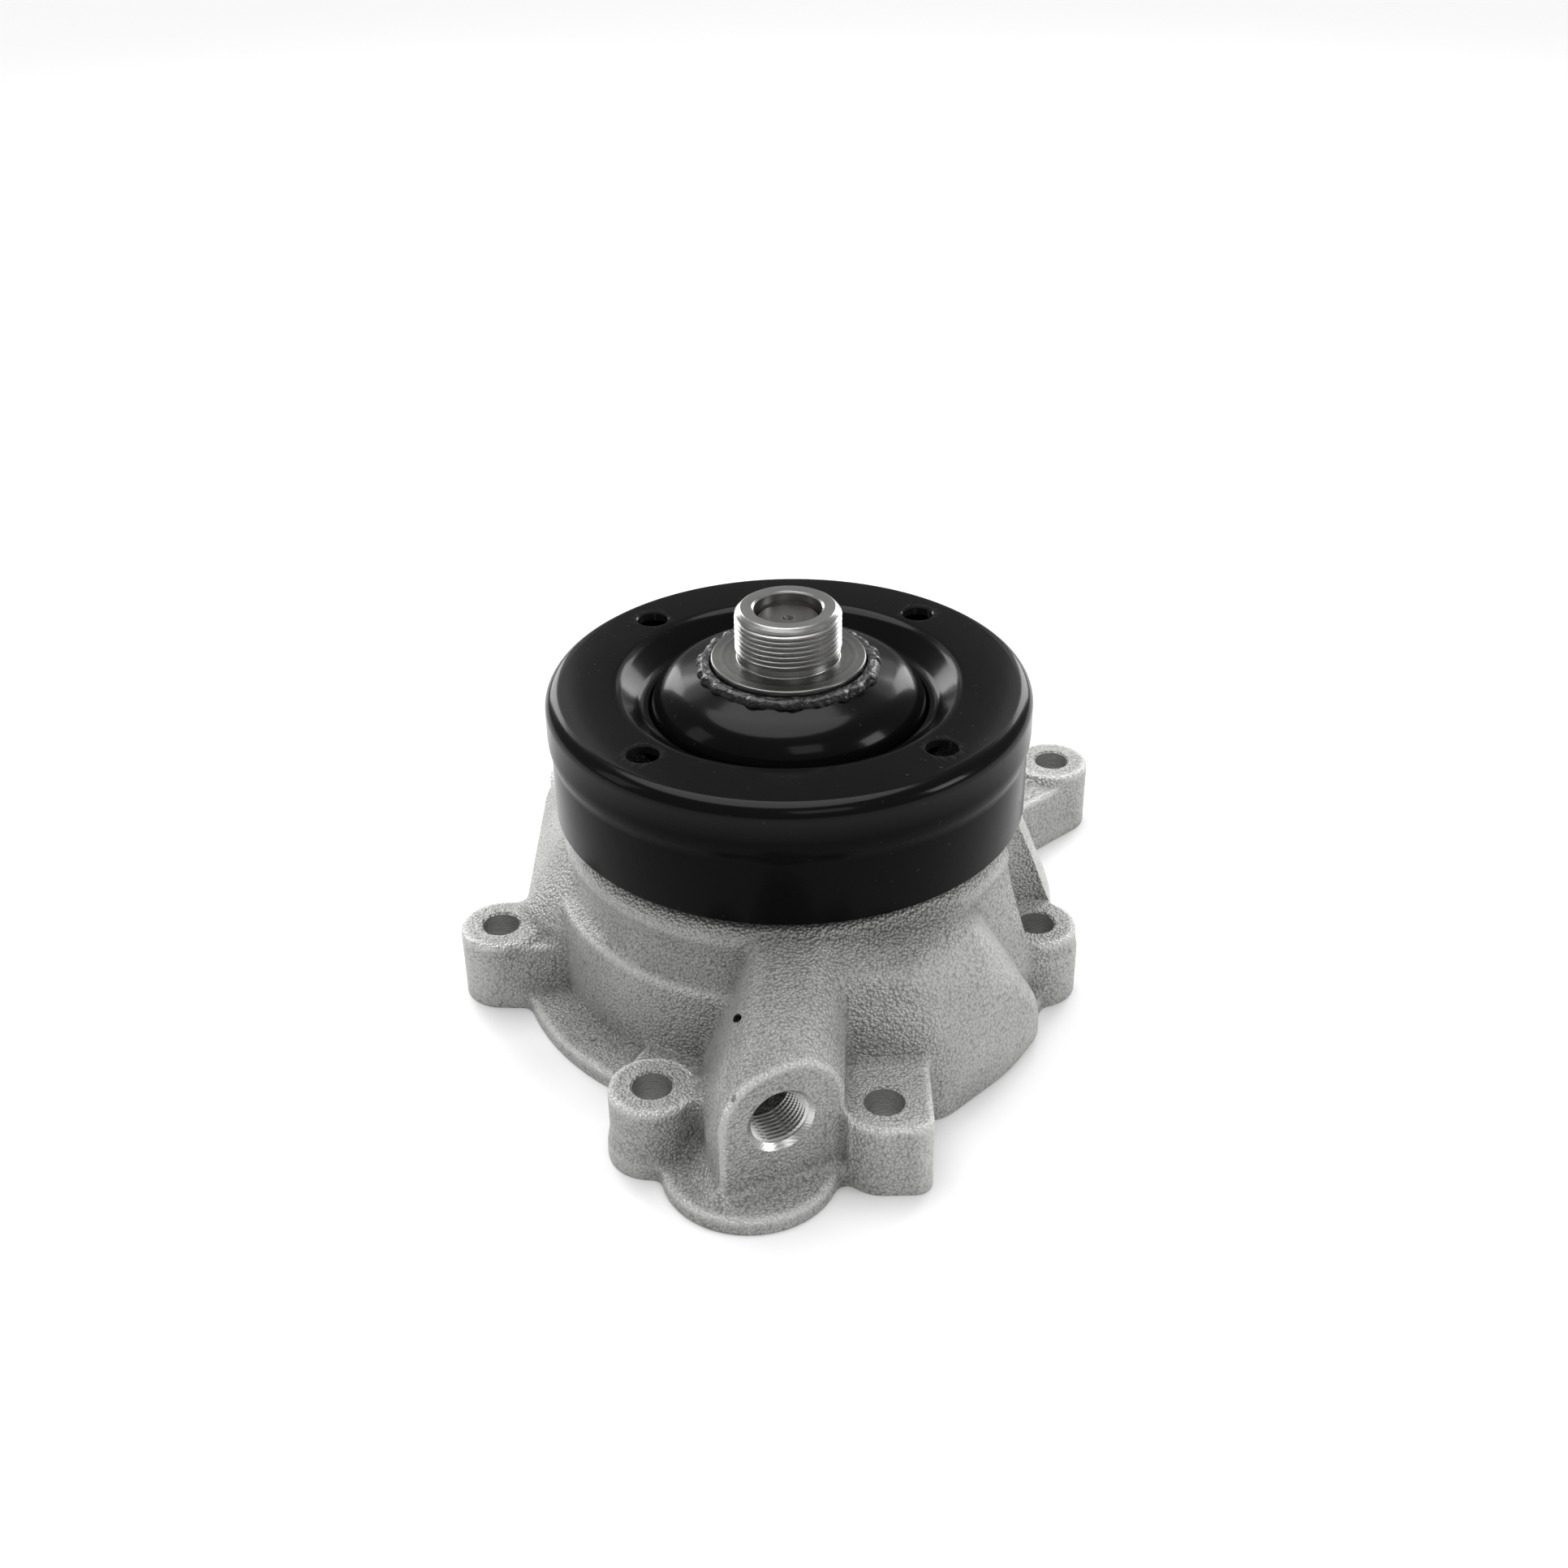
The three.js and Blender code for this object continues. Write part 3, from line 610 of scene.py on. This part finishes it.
def threaded_rod(name, crest, root, pitch, bottom, top, sides=64):
    """A right-hand threaded rod along Z about the origin, in millimetres."""
    piece = new_piece(name)
    line = [Vector((root, 0.0, bottom - 2 * pitch)) * mm]
    tooth = ((root, 0.06), (crest, 0.42), (crest, 0.58), (root, 0.94))
    for turn in range(int((top - bottom) / pitch) + 4):
        for radius, share in tooth:
            line.append(Vector((radius, 0.0, bottom + (turn - 2 + share) * pitch)) * mm)
    draw_line(line)
    bpy.ops.object.mode_set(mode="OBJECT")
    apply_modifier(piece, "SCREW", steps=sides, render_steps=sides, angle=math.tau,
                   screw_offset=pitch * mm, use_merge_vertices=True, merge_threshold=0.00001)
    select_only(piece)
    bpy.ops.object.mode_set(mode="EDIT")
    bpy.ops.mesh.select_all(action="SELECT")
    bpy.ops.mesh.remove_doubles(threshold=0.00002)
    for z, facing in ((bottom, -1.0), (top, 1.0)):
        bpy.ops.mesh.select_all(action="SELECT")
        bpy.ops.mesh.bisect(plane_co=(0.0, 0.0, z * mm), plane_no=(0.0, 0.0, facing),
                            clear_outer=True, use_fill=True, threshold=0.00001)
    bpy.ops.mesh.select_all(action="SELECT")
    bpy.ops.mesh.normals_make_consistent(inside=False)
    bpy.ops.object.mode_set(mode="OBJECT")
    return piece


# side port: pipe thread, chamfer and the cored room behind the thread
port_thread = threaded_rod("port_cutter", 8.5, 7.6, 1.41, -13.4, 2.0)
port_chamfer = new_piece("chamfer_cutter")
bpy.ops.mesh.primitive_cone_add(vertices=64, radius1=7.4 * mm, radius2=10.2 * mm, depth=2.8 * mm,
                                location=(0.0, 0.0, -0.7 * mm))
bpy.ops.object.mode_set(mode="OBJECT")
port_room = new_piece("room_cutter")
bpy.ops.mesh.primitive_cylinder_add(vertices=48, radius=8.4 * mm, depth=8.4 * mm,
                                    location=(0.0, 0.0, -17.0 * mm))
bpy.ops.object.mode_set(mode="OBJECT")
for port_cutter in (port_thread, port_chamfer, port_room):
    port_cutter.data.transform(into_port)
    cut(housing, port_cutter)

# drillings: the port's passage to the chamber, and the weep hole with its upturned mouth
weep_mouth = Vector((-15.0, -88.3, 44.5))
weep_turn = Vector((-14.4, -80.0, 35.8))
weep_end = Vector((-2.0, -12.0, 51.5))
for start, end, radius, sides in (
    (Vector((-12.4, -90.0, 25.0)), Vector((-6.0, -54.0, 25.0)), 4.6, 32),
    (weep_mouth, weep_turn, 1.3, 24),
    (weep_turn, weep_end, 1.3, 24),
):
    drilling = new_piece("drilling")
    run = end - start
    bpy.ops.mesh.primitive_cylinder_add(vertices=sides, radius=radius * mm, depth=run.length * mm)
    bpy.ops.object.mode_set(mode="OBJECT")
    drilling_frame = run.to_track_quat("Z", "Y").to_matrix().to_4x4()
    drilling.data.transform(Matrix.Translation(world_point(*((start + end) / 2))) @ drilling_frame)
    cut(housing, drilling)

# machined walls: flat underside, bolt holes, port thread and bores. Each bore is given
# by its foot, direction, reach across, and where it starts and ends
dress(housing, cast, machined)
upright = Vector((0.0, 0.0, 1.0))
bore_lines = [(Vector((x, y, 0.0)), upright, bolt_hole + 0.1, -1.0, ear_top + 0.5) for x, y in ears]
bore_lines.append((port, -port_out, 9.7, -1.0, 13.0))
bore_lines.append((Vector((0.0, 0.0, 0.0)), upright, 20.6, 36.0, 95.0))
for polygon in housing.data.polygons:
    centre = (polygon.center - shaft) / mm
    cut_face = centre.z < 0.02
    for foot, along, reach, low, high in bore_lines:
        offset = centre - foot
        run = offset.dot(along)
        across = (offset - along * run).length
        if low < run < high and across < reach and abs(polygon.normal.dot(along)) < 0.9:
            cut_face = True
    if cut_face:
        polygon.material_index = 1
smooth_by_angle(housing, 32.0)

# each point takes its bend from the nearest point of the rough casting
bend_values = [cast_bends[bend_tree.find(vertex.co)[1]] for vertex in housing.data.vertices]
housing.data.attributes.new("bend", "FLOAT", "POINT").data.foreach_set("value", bend_values)
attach(housing, "housing_body")
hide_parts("housing")


# ---------------------------------------------------------------------------
# Belt pulley shell
# A pressed steel cup under gloss black electro-coat: plain belt rim, rolled edge, flat
# face with four tool holes, dished in to a round eye.

def from_shaft(finish):
    """Distance from the shaft axis and height, both in metres."""
    offset = finish.place.node("ShaderNodeVectorMath", {"operation": "SUBTRACT"},
                               {0: finish.place, 1: tuple(shaft)})
    split = offset.node("ShaderNodeSeparateXYZ", None, {"Vector": offset})
    x, y, z = (Socket(split.tree, split.out.node.outputs[axis]) for axis in "XYZ")
    return (x * x + y * y).math("SQRT"), z


def gloss_black(name, roughness, specular):
    """Electro-coat: glossier on the front than on the belt wall, dusty, scuffed at edges."""
    finish = Finish(name)
    haze = finish.noise(35.0, 4.0, 0.6)
    dust = finish.noise(700.0, 1.0, 0.4).between(0.76, 0.8)
    rub = finish.place.node("ShaderNodeNewGeometry", out="Pointiness").between(0.54, 0.62)
    paint = (dust * 0.12).mix((0.0035, 0.0035, 0.004), (0.14, 0.137, 0.13))
    face = from_shaft(finish)[1].between(0.084, 0.09)
    finish.set(
        Base_Color=(rub * 0.12).mix(paint, (0.09, 0.09, 0.09)),
        Roughness=haze * 0.12 + roughness + dust * 0.3,
        Specular_IOR_Level=specular,
        Coat_Weight=face * 0.19 + 0.01,
        Coat_Roughness=0.12,
    )
    return finish


def arc(radius, z, size, start, end, steps=8):
    """Profile points along an arc about (radius, z), angles in degrees from outward."""
    points = []
    for step in range(steps + 1):
        angle = math.radians(start + (end - start) * step / steps)
        points.append((radius + size * math.cos(angle), z + size * math.sin(angle)))
    return points


black = gloss_black("black_paint", 0.17, 0.035)
black.bump(black.noise(260.0, 2.0, 0.5), 0.00006, 0.5)
outside = [
    (65.2, 58.0), *arc(67.4, 58.6, 0.6, -90, 0, 4), (68.0, 77.0), (68.1, 78.2), (68.5, 79.6),
    (68.85, 81.0), (69.0, 83.0), *arc(64.6, 90.6, 4.4, 0, 90, 12),
    *arc(50.5, 90.0, 5.0, 90, 135, 8), *arc(40.17, 92.4, 4.0, 315, 270, 8), (39.9, 88.1),
]
inside = [
    (39.9, 85.8), *arc(40.17, 92.4, 6.7, 270, 315, 8), *arc(50.5, 90.0, 2.3, 135, 90, 6),
    *arc(64.0, 90.6, 1.7, 90, 0, 6), (65.6, 84.0), (65.2, 78.0),
]
shell = turned("belt_pulley_shell", outside + inside, 192)
hole_circle = 56.2
for bottom, top, bottom_radius, top_radius in ((89.0, 96.0, 4.5, 4.5), (94.5, 95.3, 4.45, 5.25)):
    tool_holes = new_piece("tool_hole_cutter")
    for quarter in range(4):
        angle = math.radians(46.0 + 90.0 * quarter)
        place = world_point(hole_circle * math.cos(angle), hole_circle * math.sin(angle),
                            (bottom + top) / 2)
        bpy.ops.mesh.primitive_cone_add(
            vertices=48, radius1=bottom_radius * mm, radius2=top_radius * mm,
            depth=(top - bottom) * mm, location=place)
    bpy.ops.object.mode_set(mode="OBJECT")
    cut(shell, tool_holes)
dress(shell, black)
smooth_by_angle(shell, 30.0)
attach(shell, "rotor")
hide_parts("pulley_shell")


# ---------------------------------------------------------------------------
# Domed centre
# A second steel pressing, its foot spot-welded up under the shell's dish, its crown
# welded round the fan hub. Same gloss black coat.

dome_top = [
    (47.2, 88.3), *arc(40.9, 92.2, 7.2, 300, 268, 6), *arc(26.5, 85.5, 13.0, 0, 78, 20),
    (25.0, 99.6), (22.3, 100.2),
]
dome_under = [
    (22.3, 97.4), *arc(26.5, 85.5, 10.2, 78, 0, 14), (36.9, 82.6), (41.0, 82.2), (44.8, 83.6),
    (48.6, 87.0),
]
dome = turned("domed_centre", dome_top + dome_under, 160)
dress(dome, black)
smooth_by_angle(dome, 35.0)
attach(dome, "rotor")
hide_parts("hub_dome")


# ---------------------------------------------------------------------------
# Weld bead
# A hand-laid fillet weld between the dome and the fan hub, lumpy with overlapping
# ripples, coated black with the rest.

weld_black = gloss_black("weld_black", 0.16, 0.35)
weld_black.bump(weld_black.noise(520.0, 3.0, 0.6), 0.0007)
bead = new_piece("weld_bead")
ripples = 40
for ripple in range(ripples):
    wobble = math.sin(ripple * 2.4) * 0.5 + math.sin(ripple * 0.9 + 1.0) * 0.5
    angle = math.tau * (ripple + 0.7 * wobble) / ripples
    reach = 24.0 + 0.4 * wobble
    lump = 1.0 + 0.1 * math.sin(ripple * 1.7) + 0.05 * math.sin(ripple * 4.3)
    bpy.ops.mesh.primitive_uv_sphere_add(
        segments=20, ring_count=12, radius=mm, rotation=(0.0, 0.5, angle),
        location=world_point(reach * math.cos(angle), reach * math.sin(angle), 99.7),
        scale=(2.3 * lump, 2.7, 1.9 * lump))
bpy.ops.object.mode_set(mode="OBJECT")
bead_core = turned("bead_core", [(22.3, 98.0), (26.0, 98.0), (25.6, 100.0), (24.6, 101.1),
                                 (22.3, 101.6)], 96)
bead = fuse([bead, bead_core], "weld_bead_lumps")
apply_modifier(bead, "REMESH", mode="VOXEL", voxel_size=0.32 * mm)
apply_modifier(bead, "SMOOTH", factor=0.5, iterations=3)
dress(bead, weld_black)
smooth_by_angle(bead, 60.0)
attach(bead, "rotor")
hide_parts("weld_bead")


# ---------------------------------------------------------------------------
# Fan hub
# Turned steel with a wide flange and an M30 x 1.5 outside thread for the fan clutch,
# pressed on the shaft. Bare metal with concentric tool marks.

def turned_steel(name, dark, light, roughness):
    """Bare steel with the lathe's rings, a few stains, and darker colour on all below the thread."""
    finish = Finish(name)
    radius, height = from_shaft(finish)
    marks = (radius * 26000.0).math("SINE") * 0.5 + (height * 31000.0).math("SINE") * 0.5
    wander = finish.noise(90.0, 3.0, 0.6)
    rings = finish.place.node("ShaderNodeCombineXYZ", None, {"X": radius, "Z": height})
    streak = finish.noise(700.0, 2.0, 0.5, rings)
    stain = finish.noise(45.0, 4.0, 0.6).between(0.6, 0.85)
    metal = (streak * 0.6 + wander * 0.4).between(0.3, 0.7).mix(dark, light)
    # all below the thread is darkened
    darker_below_thread = 1.0 - height.between(0.1026, 0.1036)
    finish.set(
        Base_Color=(stain * 0.35 + darker_below_thread * 0.9).math("MINIMUM", 1.0).mix(metal, (0.12, 0.118, 0.115)),
        Metallic=1.0,
        Roughness=streak * 0.16 + roughness,
    )
    finish.bump(marks * 0.6 + streak, 0.00002, 0.6)
    return finish


hub_steel = turned_steel("turned_steel", (0.3, 0.297, 0.292), (0.47, 0.465, 0.458), 0.2)
hub = turned("threaded_fan_hub", [
    (0.0, 93.0), (16.4, 93.0), (16.4, 97.2), *arc(21.5, 97.6, 0.4, -90, 0, 4),
    *arc(21.4, 102.25, 0.5, 0, 90, 5), *arc(14.9, 103.25, 0.5, 270, 180, 5), (14.4, 105.4),
    (0.0, 105.4),
], 160, closed=False)
thread = threaded_rod("thread", 15.0, 14.15, 1.5, 104.4, 118.4, 96)
thread.data.transform(Matrix.Translation(shaft))
thread_envelope = turned("thread_envelope", [
    (0.0, 104.8), (14.25, 104.8), (15.2, 106.0), (15.2, 115.75), (13.5, 117.65), (13.25, 117.8),
    (0.0, 117.8),
], 160, closed=False)
cut(thread, thread_envelope, "INTERSECT")
cut(hub, thread, "UNION")
hub_bore = turned("hub_bore", [
    (0.0, 90.0), (9.6, 90.0), (9.6, 117.2), (10.25, 117.85), (10.25, 119.0), (0.0, 119.0),
], 128, closed=False)
cut(hub, hub_bore)
dress(hub, hub_steel)
smooth_by_angle(hub, 28.0)
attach(hub, "rotor")
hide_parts("hub_spud")


# ---------------------------------------------------------------------------
# Bearing shaft
# One ground steel shaft through bearing, seal and impeller. Only its end shows, down
# in the fan hub, with the centre drilled for turning.

shaft_steel = turned_steel("shaft_steel", (0.1, 0.098, 0.095), (0.2, 0.196, 0.19), 0.26)
spindle = turned("ground_shaft", [
    (0.0, 8.6), (8.6, 8.6), (9.3, 9.3), (9.3, 59.4), (8.5, 60.4), (8.1, 62.0), (8.5, 63.6),
    (9.3, 64.6), (9.3, 71.6), (8.7, 72.0), (8.7, 86.0), (9.3, 86.4), (9.3, 113.4), (8.5, 114.3),
    (1.5, 114.3), (0.5, 112.6), (0.0, 112.0),
], 96, closed=False)
dress(spindle, shaft_steel)
smooth_by_angle(spindle, 30.0)
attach(spindle, "rotor")
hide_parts("bearing_shaft")


# ---------------------------------------------------------------------------
# Carried pieces
# Bearing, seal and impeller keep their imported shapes, each with its real finish.

def carried(name, low, high, roughness, metallic, grain_scale, grain_depth):
    finish = Finish(name)
    speckle = finish.noise(grain_scale, 3.0, 0.6)
    finish.set(Base_Color=speckle.between(0.3, 0.7).mix(low, high), Metallic=metallic,
               Roughness=speckle * 0.2 + roughness)
    finish.bump(speckle, grain_depth, 0.6)
    return finish


# slot: darkest and lightest colour, roughness, metallic, grain scale and grain depth
coats = {
    "bearing_steel": ((0.42, 0.42, 0.42), (0.6, 0.6, 0.6), 0.1, 1.0, 300.0, 0.00002),
    "stainless": ((0.5, 0.49, 0.47), (0.66, 0.65, 0.63), 0.18, 1.0, 260.0, 0.00003),
    "black_rubber": ((0.012, 0.012, 0.012), (0.03, 0.03, 0.03), 0.6, 0.0, 500.0, 0.0001),
    "carbon": ((0.02, 0.02, 0.021), (0.045, 0.045, 0.047), 0.35, 0.0, 600.0, 0.00003),
    "ceramic": ((0.7, 0.67, 0.59), (0.82, 0.79, 0.71), 0.25, 0.0, 400.0, 0.00003),
    "cage_plastic": ((0.1, 0.065, 0.03), (0.2, 0.13, 0.06), 0.4, 0.0, 300.0, 0.00006),
    "impeller_aluminium": ((0.28, 0.28, 0.27), (0.46, 0.46, 0.45), 0.36, 0.8, 700.0, 0.0004),
}
finishes = {slot: carried(slot, *values) for slot, values in coats.items()}
for row in frame["record"]["subparts"]:
    if row["material_slot"] in finishes:
        dress(nodes[row["node"]], finishes[row["material_slot"]])


# ---------------------------------------------------------------------------
# Bearing outer race
# A hardened steel ring pressed into the snout, ground inside with a groove for the
# balls and a track for the rollers.

race = turned("bearing_race", [
    (14.6, 53.3), (18.6, 53.3), (19.1, 53.8), (19.1, 90.7), (18.6, 91.2), (14.6, 91.2),
    (14.6, 88.0), (15.3, 87.6), (15.3, 70.4), (14.6, 70.0), *arc(12.0, 62.0, 3.85, 47.5, -47.5, 12),
], 128)
dress(race, finishes["bearing_steel"])
smooth_by_angle(race, 30.0)
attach(race, "housing_body")
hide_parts("bearing_outer_race")
